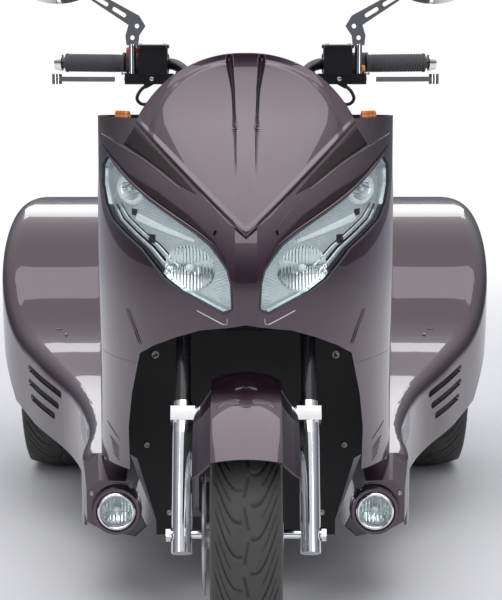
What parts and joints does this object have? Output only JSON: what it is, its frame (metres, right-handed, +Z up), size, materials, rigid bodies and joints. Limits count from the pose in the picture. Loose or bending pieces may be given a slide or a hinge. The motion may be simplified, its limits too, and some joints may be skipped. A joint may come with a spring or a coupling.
{
  "type": "motor trike",
  "caption": "Rider-height motor trike with a steered front wheel under a nose fairing, a stepped seat and wide fenders over the rear wheels.",
  "frame": {"origin": "on the ground under the middle of the overall length and width", "axes": "+Z up, the nose faces -Y, +X is the rider's left"},
  "size_m": [1.194, 2.26, 1.2609],
  "materials": {
    "body_paint": "deep metallic burgundy, high gloss",
    "black_plastic": "fine matte grain",
    "black_gloss": "gloss black",
    "black_steel": "satin black coat",
    "chrome": "polished",
    "wheel_alloy": "machined and clear coated",
    "engine_metal": "cast, dull grey",
    "exhaust_steel": "brushed",
    "disc_steel": "ground ring",
    "brake_metal": "dark anodised",
    "tyre": "dark grey rubber",
    "grip_rubber": "soft ribbed",
    "seat_vinyl": "grained black vinyl",
    "clear_lens": "clear moulded",
    "clear_lens_lamp": "clear moulded with a bright bowl",
    "lamp_reflector": "bright reflector",
    "amber_lens": "amber moulded",
    "red_lens": "red moulded",
    "mirror_glass": "mirror"
  },
  "bodies": {
    "chassis": {"frame": "black_steel", "engine": "engine_metal", "muffler": "exhaust_steel", "rear_axle": "black_steel", "front_cowl": "body_paint", "lower_cowls": "body_paint", "hood": "body_paint", "brow_panels": "body_paint", "headlamp_lenses": "clear_lens", "headlamp_bowls": "lamp_reflector", "turn_signals": "amber_lens", "splash_panel": "black_plastic", "leg_shield": "black_plastic", "instruments": "black_plastic", "floor": "black_plastic", "side_bodies": "body_paint", "lamp_pods": "body_paint", "fog_lamps": "clear_lens_lamp", "tail_body": "body_paint", "tail_lamps": "red_lens", "back_bracket": "chrome", "back_pad": "seat_vinyl"},
    "seat": {"seat_pan": "black_plastic", "seat_cushion": "seat_vinyl"},
    "trunk_lid": {"trunk_lid": "body_paint"},
    "steering": {"fork_upper": "black_steel", "fork_legs": "chrome", "front_axle": "chrome", "front_fender": "body_paint", "front_caliper": "brake_metal", "handlebar": "black_steel", "grips": "grip_rubber", "bar_ends": "chrome", "switch_housings": "black_plastic", "brake_reservoirs": "black_gloss", "brake_levers": "chrome", "mirror_arms": "chrome", "mirror_heads": "chrome", "mirror_glasses": "mirror_glass"},
    "front_wheel": {"front_tyre": "tyre", "front_rim": "wheel_alloy", "front_disc": "disc_steel"},
    "rear_wheel_left": {"rear_tyre_left": "tyre", "rear_rim_left": "wheel_alloy"},
    "rear_wheel_right": {"rear_tyre_right": "tyre", "rear_rim_right": "wheel_alloy"}
  },
  "joints": [
    {"name": "steering_turn", "type": "hinge", "parent": "chassis", "child": "steering", "pos_m": [0, -0.59503, 0.75774], "axis": [0, 0.4384, 0.8988], "range_deg": [-30, 30]},
    {"name": "front_wheel_spin", "type": "hinge", "parent": "steering", "child": "front_wheel", "pos_m": [0, -0.894, 0.236], "axis": [1, 0, 0], "continuous": true},
    {"name": "rear_left_spin", "type": "hinge", "parent": "chassis", "child": "rear_wheel_left", "pos_m": [0.465, 0.706, 0.28], "axis": [1, 0, 0], "continuous": true},
    {"name": "rear_right_spin", "type": "hinge", "parent": "chassis", "child": "rear_wheel_right", "pos_m": [-0.465, 0.706, 0.28], "axis": [1, 0, 0], "continuous": true},
    {"name": "seat_hinge", "type": "hinge", "parent": "chassis", "child": "seat", "pos_m": [0, -0.014, 0.6944], "axis": [1, 0, 0], "range_deg": [0, 72]},
    {"name": "trunk_lid_hinge", "type": "hinge", "parent": "chassis", "child": "trunk_lid", "pos_m": [0, 0.859, 0.6984], "axis": [1, 0, 0], "range_deg": [0, 70]}
  ]
}
